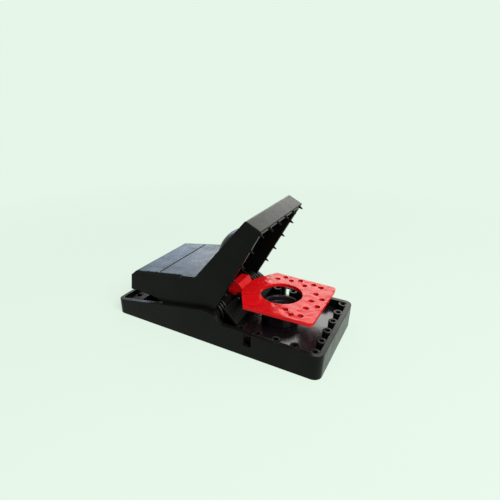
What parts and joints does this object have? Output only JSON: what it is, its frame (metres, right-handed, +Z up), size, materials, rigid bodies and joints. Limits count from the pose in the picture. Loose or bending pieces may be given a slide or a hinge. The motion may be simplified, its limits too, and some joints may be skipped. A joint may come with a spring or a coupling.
{
  "type": "snap mouse trap",
  "caption": "Press-to-set snap trap: a toothed jaw with a press lever swings on an axle and shuts over a trigger pedal and bait cup in a tray.",
  "frame": {"origin": "middle of the underside of the tray", "axes": "+X points to the pedal end, the long way of the tray; +Y is across it; +Z is up"},
  "size_m": [0.098, 0.045, 0.055],
  "materials": {
    "black_plastic": "satin moulded black",
    "black_plastic_jaw": "semi-gloss moulded black",
    "black_plastic_cup": "semi-gloss moulded black",
    "red_plastic": "gloss moulded red",
    "axle_steel": "bright drawn steel",
    "spring_steel": "drawn spring steel"
  },
  "bodies": {
    "base": {"base_tray": "black_plastic", "main_axle": "axle_steel", "trigger_pin": "axle_steel", "spring_near": "spring_steel", "spring_far": "spring_steel"},
    "jaw": {"jaw_lever": "black_plastic_jaw"},
    "pedal": {"trigger_pedal": "red_plastic"},
    "cup": {"bait_cup": "black_plastic_cup"}
  },
  "joints": [
    {"name": "jaw_swing", "type": "hinge", "parent": "base", "child": "jaw", "pos_m": [0.0005, 0, 0.0114], "axis": [0, 1, 0], "range_deg": [-3, 62.3], "deforming": ["spring_near", "spring_far"]},
    {"name": "pedal_tilt", "type": "hinge", "parent": "base", "child": "pedal", "pos_m": [0.0072, 0, 0.0152], "axis": [0, 1, 0], "range_deg": [-0.7, 12.1]},
    {"name": "cup_slide", "type": "slide", "parent": "base", "child": "cup", "axis": [0, 0, -1], "range_m": [0, 0.02]}
  ],
  "couplings": [
    {"joint": "pedal_tilt", "follows": "jaw_swing", "ratio": 0.19262}
  ]
}
